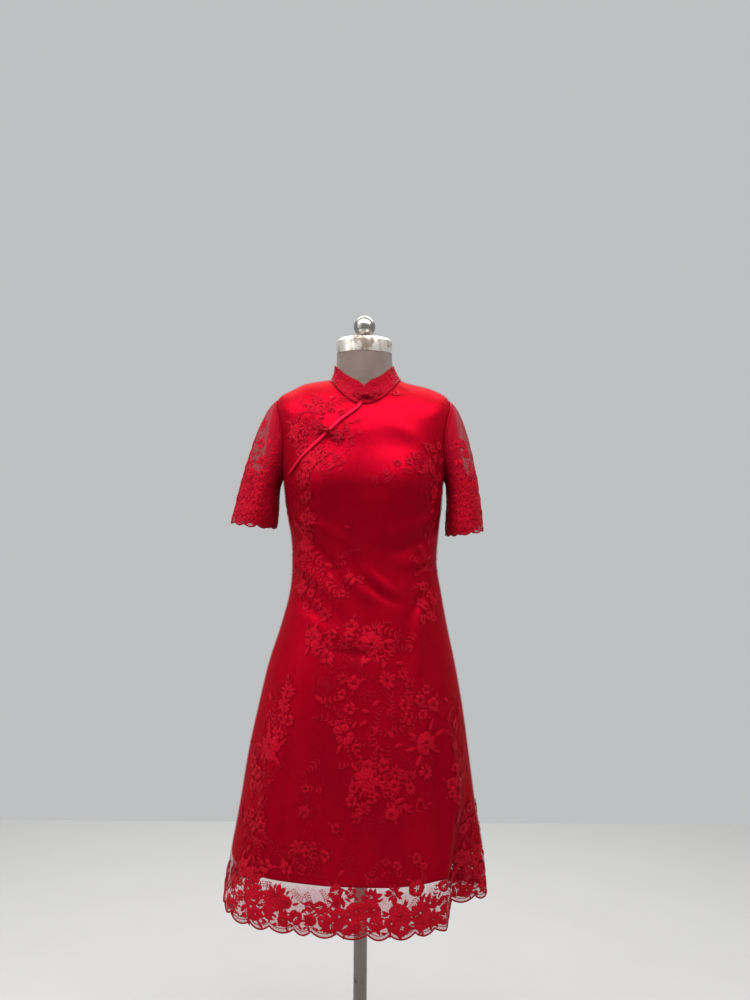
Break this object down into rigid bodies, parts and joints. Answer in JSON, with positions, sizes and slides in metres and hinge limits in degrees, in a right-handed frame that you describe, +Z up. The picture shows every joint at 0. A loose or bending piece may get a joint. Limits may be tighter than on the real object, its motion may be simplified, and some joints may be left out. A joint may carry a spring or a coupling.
{
  "type": "cheongsam dress on a limbless dress form",
  "caption": "Short-sleeved lace cheongsam with a stand collar, slanted piped front opening and scalloped hem, worn by a limbless dress form on a pole and round base.",
  "frame": {"origin": "middle of the underside of the stand's round base plate, on the axis of the pole", "axes": "+Z up along the pole, the dress's front faces -Y, +X is the viewer's right as the front is seen"},
  "size_m": [0.4965, 0.35, 1.5185],
  "materials": {
    "lining_satin": "opaque red satin with a soft sheen",
    "embroidered_net": "fine net with raised satin-stitch flowers and corded edges",
    "piping_satin": "smooth bias satin, lighter red",
    "frog_cord": "satin cord, coiled and stitched flat",
    "form_jersey": "matte knitted cover, beige grey",
    "worn_steel": "brushed and worn, brownish in its scratches",
    "polished_steel": "smooth, fine turned lines, lightly worn"
  },
  "bodies": {
    "root": {"lining_front": "lining_satin", "lining_back": "lining_satin", "lace_front": "embroidered_net", "lace_back": "embroidered_net", "lace_yoke": "embroidered_net", "sleeve_left": "embroidered_net", "sleeve_right": "embroidered_net", "collar": "embroidered_net", "placket_piping": "piping_satin", "frog_collar_left": "frog_cord", "frog_collar_right": "frog_cord", "frog_collar_knot": "frog_cord", "frog_chest_left": "frog_cord", "frog_chest_right": "frog_cord", "frog_chest_knot": "frog_cord", "form_body": "form_jersey", "neck_cap": "worn_steel", "ball_knob": "polished_steel", "stand_flange": "polished_steel", "stand_pole": "polished_steel", "stand_socket": "polished_steel", "stand_base": "polished_steel"}
  },
  "joints": []
}
